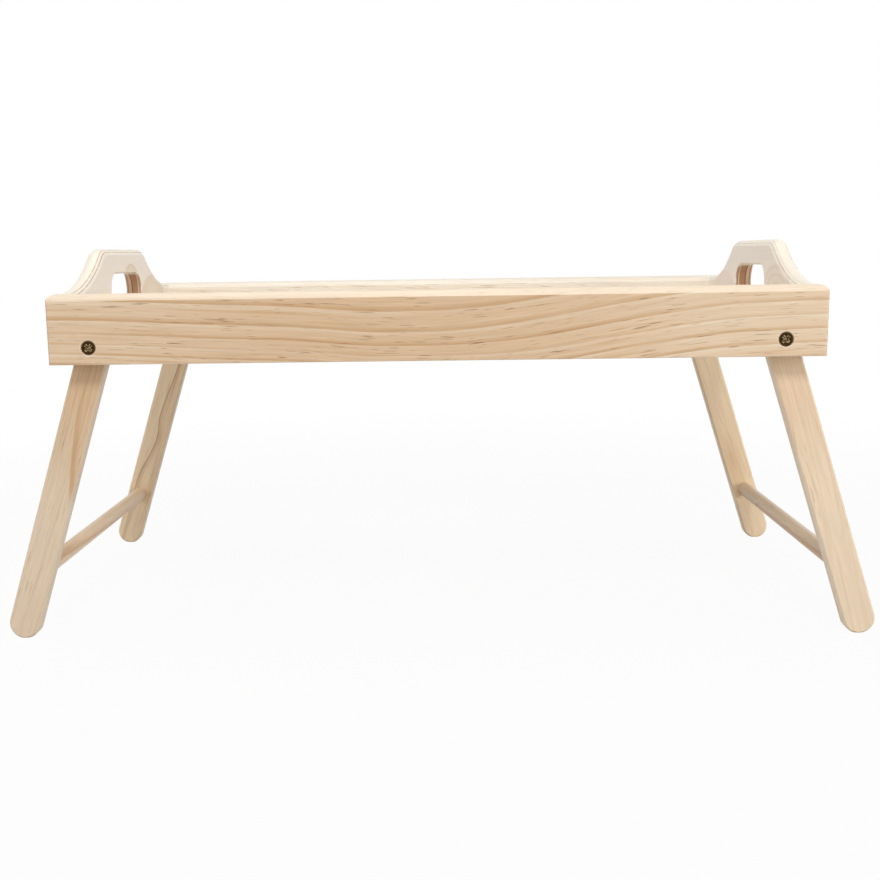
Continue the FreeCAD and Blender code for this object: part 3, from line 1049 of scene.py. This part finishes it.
# Sizes in mm. A pair holds the two places between which something comes in or ends.
BLOTCH = 1.6
SCRATCH = (0.25, 3)  # width and length
SCRATCH_DEPTH = 0.00001  # metres
PAINTED_GLINT = 0.7
RECESS_DEPTH = (0.1, 0.5)
RECESS_RADIUS = (3.0, 3.4)
LIP_RADIUS = 2.0
LIP_HALF_WIDTH = (0.5, 1.1)
CROSS_HALF_WIDTH = 1.3
RIM_RADIUS = 4.5
RIM_HALF_WIDTH = (0.1, 0.35)

# Levels of noise between which the patina and the painted glints come in, and how far each place is rubbed
# bright.
PATINA_LEVELS = (-0.3, 0.5)
PAINTED_GLINT_LEVELS = (-0.1, 0.3)
LIP_WEAR = 0.7
RIM_WEAR = 0.12
WEAR_AND_GLINTS = (0.1, 1.2)  # rubbed bright between the painted glints, and how much brighter the painted glints are
BLOTCH_ROUGHNESS = 0.12


class TRAYTABLE_OT_pivot_screws(bpy.types.Operator):
    """Finish the pivot screws in dark brass, rubbed bright in the recess, with painted glints"""

    bl_idname = "tray_table.pivot_screws"
    bl_label = "Pivot screws"

    def execute(self, context):
        look = table_settings().brass
        for side in ("left", "right"):
            for place in ("front", "back"):
                node = f"{side}_{place}_pivot_screw"
                low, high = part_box(node)
                inward = ALONG_Y if place == "front" else -ALONG_Y
                head = middle(node)
                head.y = low.y if place == "front" else high.y
                dress(node, self.brass(node + "_brass", head, inward, look))
        return {"FINISHED"}

    def brass(self, name, head, inward, look):
        """Dark plating over brass; the head's flat is at head."""
        metal = Finish(name)
        depth = metal.along(inward, head)
        x = metal.along(ALONG_X, head)
        z = metal.along(UP, head)
        width, length_along = SCRATCH
        blotch = metal.noise(x / BLOTCH, z / BLOTCH, depth / BLOTCH, detail=3.0)
        scratch = metal.noise((x + z) / width, (x - z) / length_along, depth / length_along, detail=2.0)
        # Painted highlight: bright spots of brass colour, standing in for glints of light in the recess.
        painted_glint = metal.noise(x / PAINTED_GLINT, z / PAINTED_GLINT, depth / PAINTED_GLINT).eased(*PAINTED_GLINT_LEVELS)

        radius = (x * x + z * z) ** 0.5
        in_recess = depth.eased(*RECESS_DEPTH) * (1 - radius.eased(*RECESS_RADIUS))
        ring_of_lips = 1 - abs(radius - LIP_RADIUS).eased(*LIP_HALF_WIDTH)
        lips = ring_of_lips * (abs(abs(x) - abs(z)) < CROSS_HALF_WIDTH)
        rim = (1 - abs(radius - RIM_RADIUS).eased(*RIM_HALF_WIDTH)) * RIM_WEAR
        wear, glint_gain = WEAR_AND_GLINTS
        # Rubbed brass in the recess and on its lips, and painted glints.
        rubbed_and_glints = (in_recess.most(lips * LIP_WEAR) * (wear + painted_glint * glint_gain)).most(rim)

        base = metal.mix(blotch.eased(*PATINA_LEVELS), look.plating, look.patina)
        base = metal.mix(rubbed_and_glints, base, look.rubbed)
        roughness = look.roughness + blotch * BLOTCH_ROUGHNESS
        return metal.surface(base, scratch, SCRATCH_DEPTH, {"Metallic": 1.0, "Roughness": roughness})


# ------------------------------------------------------------------------------------------ studio

IMAGE_SIDE = 880  # pixels
FOCAL_LENGTH = 1140.4  # pixels
OPTICAL_CENTRE = (420.3, 442.0)  # pixels from the image's left and top
SENSOR_WIDTH = 36.0  # mm
CAMERA_PLACE = Vector((0.00879, -0.88073, 0.25656))
CAMERA_TURN = math.radians(-1.473)  # to the right of straight ahead
CAMERA_DIP = math.radians(9.382)  # below level
CAMERA_ROLL = math.radians(-0.838)

# Place, and width and height, in metres, of the softbox that each lamp setting is for.
SOFTBOXES = {
    "overhead": ((-0.25, 0.15, 1.9), (1.0, 0.8)),
    "front": ((0.1, -1.25, 1.45), (0.6, 0.4)),
    "left": ((-1.5, -0.9, 0.6), (0.6, 0.6)),
    "right": ((1.5, -0.9, 0.5), (0.6, 0.6)),
}

FLOOR_SIDE = 12.0  # metres
FLOOR_TILES = 8  # along each side
FLOOR_GLOW = 0.95  # share of plain white in the floor near the table; the rest takes the shadow
SHADOW_REACH = (0.4, 1.1)  # metres from the table's middle, between which the floor fades to plain white
WHITE = (1, 1, 1, 1)


def aimed(place, target):
    """Placement of a lamp that faces a target."""
    turn = (target - place).to_track_quat("-Z", "Y").to_matrix().to_4x4()
    return Matrix.Translation(place) @ turn


def link(name, data):
    """A new object in the scene."""
    made = bpy.data.objects.new(name, data)
    bpy.context.scene.collection.objects.link(made)
    return made


def softbox(name, place, target, size, watts):
    """Rectangular lamp."""
    lamp = bpy.data.lights.new(name, "AREA")
    lamp.shape = "RECTANGLE"
    lamp.size, lamp.size_y = size
    lamp.energy = watts
    link(name, lamp).matrix_world = aimed(place, target)


def seen_directly(finish):
    """1 for rays that show a surface to the eye, straight or through gloss or glass, and 0 for light."""
    path = finish.node("ShaderNodeLightPath")
    rays = ("Is Camera Ray", "Is Glossy Ray", "Is Transmission Ray")
    camera, glossy, through = (Field(finish, path.outputs[ray]) for ray in rays)
    return camera.most(glossy).most(through)


class TRAYTABLE_OT_studio(bpy.types.Operator):
    """Set up the camera, the floor, the lamps and the white surroundings"""

    bl_idname = "tray_table.studio"
    bl_label = "Studio"

    def execute(self, context):
        look = table_settings().studio
        self.camera(context.scene)
        self.floor(look)
        self.surroundings(context.scene, look)
        centre = (cad_box[0] + cad_box[1]) / 2
        for lamp, (place, size) in SOFTBOXES.items():
            softbox(lamp + "_softbox", Vector(place), centre, size, getattr(look, lamp))
        context.scene.view_settings.view_transform = "Standard"
        return {"FINISHED"}

    def camera(self, scene):
        """Camera at the photograph's viewing angle."""
        lens = bpy.data.cameras.new("camera")
        lens.sensor_width = SENSOR_WIDTH
        lens.lens = SENSOR_WIDTH * FOCAL_LENGTH / IMAGE_SIDE
        lens.shift_x = 0.5 - OPTICAL_CENTRE[0] / IMAGE_SIDE
        lens.shift_y = OPTICAL_CENTRE[1] / IMAGE_SIDE - 0.5
        level = math.cos(CAMERA_DIP)
        ahead = Vector((math.sin(CAMERA_TURN) * level, math.cos(CAMERA_TURN) * level, -math.sin(CAMERA_DIP)))
        right = Vector((math.cos(CAMERA_TURN), -math.sin(CAMERA_TURN), 0))
        over = right.cross(ahead)
        right, over = (
            right * math.cos(CAMERA_ROLL) + over * math.sin(CAMERA_ROLL),
            over * math.cos(CAMERA_ROLL) - right * math.sin(CAMERA_ROLL),
        )
        turn = Matrix((right, over, -ahead)).transposed().to_4x4()
        scene.camera = link("camera", lens)
        scene.camera.matrix_world = Matrix.Translation(CAMERA_PLACE) @ turn

    def floor(self, look):
        """Floor that is white to the eye but for the table's shadow, and pale grey to the light."""
        sheet = bmesh.new()
        bmesh.ops.create_grid(sheet, x_segments=FLOOR_TILES, y_segments=FLOOR_TILES, size=FLOOR_SIDE / 2)
        mesh = bpy.data.meshes.new("floor")
        sheet.to_mesh(mesh)
        sheet.free()
        finish = Finish("floor_paint")
        matt = finish.node("ShaderNodeBsdfDiffuse", {}, {"Color": (*look.floor, 1.0)})
        glow = finish.node("ShaderNodeEmission", {}, {"Strength": 1.0})
        x, y = (finish.along(axis, Vector()) / MM for axis in (ALONG_X, ALONG_Y))
        fade = ((x * x + y * y) ** 0.5).eased(*SHADOW_REACH)
        amount = seen_directly(finish) * (FLOOR_GLOW + (1 - FLOOR_GLOW) * fade)
        both = finish.node("ShaderNodeMixShader", {}, {0: amount, 1: matt.outputs[0], 2: glow.outputs[0]})
        finish.node("ShaderNodeOutputMaterial", {}, {"Surface": both.outputs[0]})
        mesh.materials.append(finish.material)
        link("floor", mesh)

    def surroundings(self, scene, look):
        """White to the eye, and an even light from all round."""
        scene.world = bpy.data.worlds.new("surroundings")
        scene.world.use_nodes = True
        finish = NodeTree(scene.world.node_tree)
        light = finish.node("ShaderNodeBackground", {}, {"Color": WHITE, "Strength": look.surround})
        white = finish.node("ShaderNodeBackground", {}, {"Color": WHITE, "Strength": 1.0})
        amount = seen_directly(finish)
        both = finish.node("ShaderNodeMixShader", {}, {0: amount, 1: light.outputs[0], 2: white.outputs[0]})
        finish.node("ShaderNodeOutputWorld", {}, {"Surface": both.outputs[0]})


class TRAYTABLE_PT_sidebar(bpy.types.Panel):
    """The table's steps and settings in the 3D view's sidebar"""

    bl_label = "Bed Tray Table"
    bl_idname = "TRAYTABLE_PT_sidebar"
    bl_space_type = "VIEW_3D"
    bl_region_type = "UI"
    bl_category = "Tray Table"

    def draw(self, context):
        for step in STEPS:
            self.layout.operator(step.bl_idname)
        for name in TrayTableSettings.__annotations__:
            box = self.layout.box()
            box.label(text=name.replace("_", " ").capitalize())
            group = getattr(context.scene.tray_table, name)
            for setting in group.__annotations__:
                box.prop(group, setting)


STEPS = (
    TRAYTABLE_OT_rails,
    TRAYTABLE_OT_end_panels,
    TRAYTABLE_OT_tray_bottom,
    TRAYTABLE_OT_legs,
    TRAYTABLE_OT_stretchers,
    TRAYTABLE_OT_pivot_screws,
    TRAYTABLE_OT_studio,
)
GROUPS = (
    FrontRailTones,
    BackRailTones,
    FrontLegTones,
    BackLegTones,
    StretcherTones,
    PineSettings,
    PlywoodSettings,
    BrassSettings,
    StudioSettings,
    TrayTableSettings,
)


def register():
    for part in (*GROUPS, *STEPS, TRAYTABLE_PT_sidebar):
        bpy.utils.register_class(part)
    bpy.types.Scene.tray_table = PointerProperty(type=TrayTableSettings)


def unregister():
    del bpy.types.Scene.tray_table
    for part in reversed((*GROUPS, *STEPS, TRAYTABLE_PT_sidebar)):
        bpy.utils.unregister_class(part)


def main():
    """Register everything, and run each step."""
    register()
    for step in STEPS:
        family, name = step.bl_idname.split(".")
        getattr(getattr(bpy.ops, family), name)()


if __name__ == "__main__":
    main()
